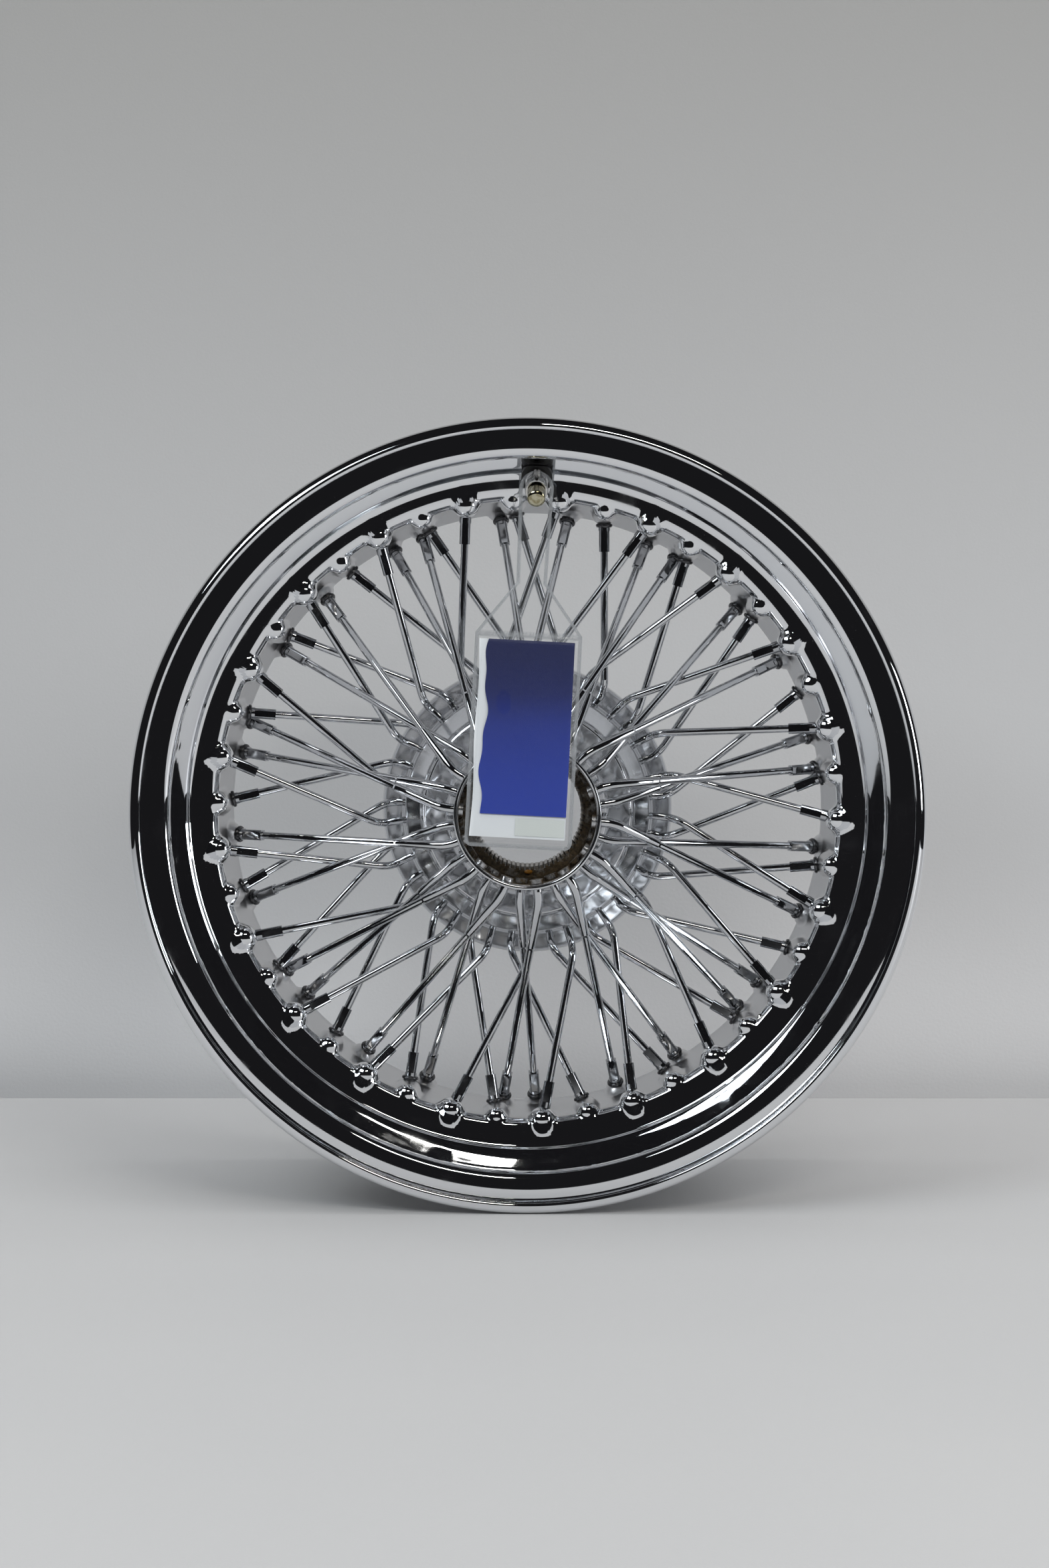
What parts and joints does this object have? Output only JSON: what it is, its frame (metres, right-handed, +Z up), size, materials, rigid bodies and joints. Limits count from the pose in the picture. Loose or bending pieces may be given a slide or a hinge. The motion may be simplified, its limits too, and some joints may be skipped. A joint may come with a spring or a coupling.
{
  "type": "wire spoked wheel",
  "caption": "Chromed steel wire wheel with laced spokes, a splined centre-lock hub, a tubeless valve and a clear hang tag on the valve.",
  "frame": {"origin": "middle of the axle line, half way across the rim's width", "axes": "+Y along the axle towards the vehicle, so the nose faces -Y; +Z up towards the valve; +X to the right seen from the nose"},
  "size_m": [0.415, 0.1744, 0.4148],
  "materials": {
    "chrome_rim": "polished chrome plate",
    "clear_sealant": "clear silicone",
    "chrome_hub": "polished chrome plate",
    "greased_steel": "greasy machined steel with light rust",
    "plated_steel": "zinc plated",
    "chrome_spokes": "polished",
    "chrome_nipples": "polished",
    "black_rubber": "moulded, matt",
    "chrome_valve": "polished",
    "brass": "turned",
    "cap_metal": "nickelled brass, dulled",
    "clear_vinyl": "clear flexible vinyl",
    "blue_card": "printed card, semi-gloss",
    "white_paper": "paper",
    "label_paper": "self-adhesive paper"
  },
  "bodies": {
    "wheel": {"rim": "chrome_rim", "spoke_bed_seal": "clear_sealant", "hub_shell": "chrome_hub", "spline_sleeve": "greased_steel", "hub_back_plate": "plated_steel", "nose_spokes_left": "chrome_spokes", "nose_spokes_right": "chrome_spokes", "flange_spokes_front": "chrome_spokes", "flange_spokes_rear": "chrome_spokes", "nipples_front_row": "chrome_nipples", "nipples_second_row": "chrome_nipples", "nipples_rear_left": "chrome_nipples", "nipples_rear_right": "chrome_nipples", "valve_rubber": "black_rubber", "valve_shroud": "chrome_valve", "valve_stem": "brass", "valve_core": "brass"},
    "core_pin": {"valve_core_pin": "brass"},
    "cap": {"valve_cap": "cap_metal", "valve_cap_seal": "black_rubber"},
    "tag": {"tag_back_sheet": "clear_vinyl", "tag_front_sheet": "clear_vinyl", "tag_card": "blue_card", "tag_slip": "white_paper", "tag_label": "label_paper"}
  },
  "joints": [
    {"name": "tag_swing", "type": "hinge", "parent": "wheel", "child": "tag", "pos_m": [0.00479, -0.05838, 0.17154], "axis": [-0.0122, -0.8988, -0.4382], "range_deg": [-25, 25]},
    {"name": "cap_lift", "type": "slide", "parent": "wheel", "child": "cap", "axis": [-0.0122, -0.8988, -0.4382], "range_m": [0, 0.012]},
    {"name": "core_pin_press", "type": "slide", "parent": "wheel", "child": "core_pin", "axis": [0.0122, 0.8988, 0.4382], "range_m": [0, 0.001], "stiffness_N_per_m": 600, "springref_m": -0.002}
  ]
}
